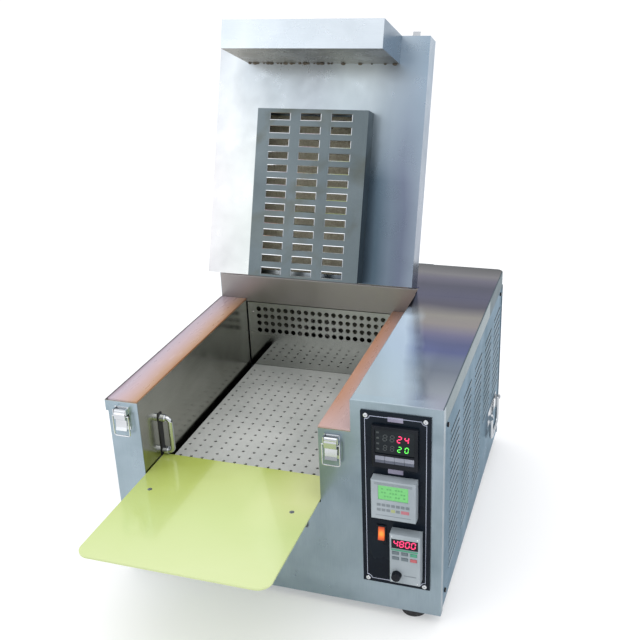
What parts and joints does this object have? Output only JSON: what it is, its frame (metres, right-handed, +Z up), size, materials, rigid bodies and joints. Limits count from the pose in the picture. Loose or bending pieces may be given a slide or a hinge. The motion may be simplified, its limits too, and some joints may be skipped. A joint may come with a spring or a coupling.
{
  "type": "reflow oven",
  "caption": "Bench-top hot-air reflow oven: sheet-metal cabinet, hinged lid with slotted duct, perforated work plate, loading shelf and control panel.",
  "frame": {"origin": "on the table, under the middle of the oven's bounding box, with the lid open", "axes": "+Z up, +X to the operator's right, the operator stands on the -Y side"},
  "size_m": [0.592, 0.864, 0.9064],
  "materials": {
    "satin_steel": "satin brushed stainless sheet",
    "bright_steel": "near-mirror stainless sheet",
    "chamber_steel": "polished stainless sheet, heat tinted",
    "lid_steel": "satin stainless sheet with bluish sheen",
    "chrome": "bright plated",
    "hinge_steel": "plain steel",
    "wall_seal": "glossy coppery silicone",
    "rubber": "matt black",
    "work_plate": "matt grey-beige coated plate",
    "glass_epoxy": "glossy yellow-green glass-epoxy laminate",
    "dark_bracket": "satin dark",
    "mineral_wool": "fibrous, matt",
    "heater_sheath": "oxidised tube",
    "motor_paint": "satin",
    "aluminium": "extruded, satin",
    "panel_black": "glossy black laminate",
    "meter_black": "fine texture",
    "case_grey": "fine texture, light grey",
    "neon_lens": "translucent orange, lit",
    "key_grey": "soft key",
    "key_green": "soft key",
    "key_red": "soft key"
  },
  "bodies": {
    "cabinet": {"base_pan": "satin_steel", "blower_motor": "motor_paint", "blower_scroll": "chamber_steel", "cabinet_hinge_leaf": "hinge_steel", "chamber_floor": "chamber_steel", "chamber_handle": "chrome", "control_panel": "panel_black", "feet": "rubber", "front_panel": "satin_steel", "handle_backing": "rubber", "heater_elements": "heater_sheath", "inverter": "case_grey", "latch_bases": "chrome", "left_gasket": "wall_seal", "left_liner": "chamber_steel", "left_side_panel": "satin_steel", "lid_stops": "hinge_steel", "loading_tray": "glass_epoxy", "machine_screws": "chrome", "perforated_plate": "work_plate", "power_inlet": "meter_black", "power_switch": "meter_black", "rear_baffle": "chamber_steel", "rear_bumpers": "rubber", "rear_deck": "bright_steel", "rear_panel": "satin_steel", "right_gasket": "wall_seal", "right_liner": "chamber_steel", "right_side_panel": "satin_steel", "side_handle_plates": "chrome", "solid_state_relay": "aluminium", "temperature_controller": "meter_black", "timer_relay": "case_grey", "top_cover": "bright_steel", "tray_brackets": "dark_bracket", "wall_insulation": "mineral_wool"},
    "lid": {"lid_outer_pan": "lid_steel", "lid_inner_panel": "lid_steel", "lid_front_box": "lid_steel", "lid_duct_box": "lid_steel", "lid_insulation": "mineral_wool", "lid_heaters": "heater_sheath", "lid_hinge_leaf": "hinge_steel", "lid_keepers": "chrome"},
    "blower_rotor": {"blower_wheel": "hinge_steel", "blower_shaft": "hinge_steel"},
    "left_latch_lever": {"left_latch_lever": "chrome"},
    "right_latch_lever": {"right_latch_lever": "chrome"},
    "left_latch_bail": {"left_latch_bail": "chrome"},
    "right_latch_bail": {"right_latch_bail": "chrome"},
    "left_side_grip": {"left_side_grip": "chrome"},
    "right_side_grip": {"right_side_grip": "chrome"},
    "power_rocker": {"power_rocker": "neon_lens"},
    "inverter_knob": {"inverter_knob": "meter_black"},
    "mode_key": {"mode_key": "key_grey"},
    "left_shift_key": {"left_shift_key": "key_grey"},
    "run_key": {"run_key": "key_green"},
    "enter_key": {"enter_key": "key_grey"},
    "down_key": {"down_key": "key_grey"},
    "stop_key": {"stop_key": "key_red"}
  },
  "joints": [
    {"name": "lid_hinge", "type": "hinge", "parent": "cabinet", "child": "lid", "pos_m": [-0.075, 0.276, 0.3995], "axis": [1, 0, 0], "range_deg": [0, 109]},
    {"name": "left_lever_pivot", "type": "hinge", "parent": "cabinet", "child": "left_latch_lever", "pos_m": [-0.258, -0.2065, 0.326], "axis": [1, 0, 0], "range_deg": [-100, 0]},
    {"name": "left_bail_pivot", "type": "hinge", "parent": "left_latch_lever", "child": "left_latch_bail", "pos_m": [-0.258, -0.209, 0.318], "axis": [-1, 0, 0], "range_deg": [0, 195]},
    {"name": "right_lever_pivot", "type": "hinge", "parent": "cabinet", "child": "right_latch_lever", "pos_m": [0.11, -0.2065, 0.326], "axis": [1, 0, 0], "range_deg": [-100, 0]},
    {"name": "right_bail_pivot", "type": "hinge", "parent": "right_latch_lever", "child": "right_latch_bail", "pos_m": [0.11, -0.209, 0.318], "axis": [-1, 0, 0], "range_deg": [0, 195]},
    {"name": "left_grip_pivot", "type": "hinge", "parent": "cabinet", "child": "left_side_grip", "pos_m": [-0.291, 0.32, 0.132], "axis": [0, 1, 0], "range_deg": [0, 90]},
    {"name": "right_grip_pivot", "type": "hinge", "parent": "cabinet", "child": "right_side_grip", "pos_m": [0.291, 0.32, 0.132], "axis": [0, -1, 0], "range_deg": [0, 90]},
    {"name": "power_rocker_pivot", "type": "hinge", "parent": "cabinet", "child": "power_rocker", "pos_m": [0.1885, -0.201, 0.165], "axis": [1, 0, 0], "range_deg": [0, 18]},
    {"name": "speed_knob_turn", "type": "hinge", "parent": "cabinet", "child": "inverter_knob", "pos_m": [0.218, -0.226, 0.105], "axis": [0, -1, 0], "range_deg": [-150, 150]},
    {"name": "mode_key_press", "type": "slide", "parent": "cabinet", "child": "mode_key", "axis": [0, 1, 0], "range_m": [0, 0.0012], "stiffness_N_per_m": 800},
    {"name": "left_shift_key_press", "type": "slide", "parent": "cabinet", "child": "left_shift_key", "axis": [0, 1, 0], "range_m": [0, 0.0012], "stiffness_N_per_m": 800},
    {"name": "run_key_press", "type": "slide", "parent": "cabinet", "child": "run_key", "axis": [0, 1, 0], "range_m": [0, 0.0012], "stiffness_N_per_m": 800},
    {"name": "enter_key_press", "type": "slide", "parent": "cabinet", "child": "enter_key", "axis": [0, 1, 0], "range_m": [0, 0.0012], "stiffness_N_per_m": 800},
    {"name": "down_key_press", "type": "slide", "parent": "cabinet", "child": "down_key", "axis": [0, 1, 0], "range_m": [0, 0.0012], "stiffness_N_per_m": 800},
    {"name": "stop_key_press", "type": "slide", "parent": "cabinet", "child": "stop_key", "axis": [0, 1, 0], "range_m": [0, 0.0012], "stiffness_N_per_m": 800},
    {"name": "blower_spin", "type": "hinge", "parent": "cabinet", "child": "blower_rotor", "pos_m": [-0.071, 0.317, 0.248], "axis": [0, 1, 0], "continuous": true}
  ]
}
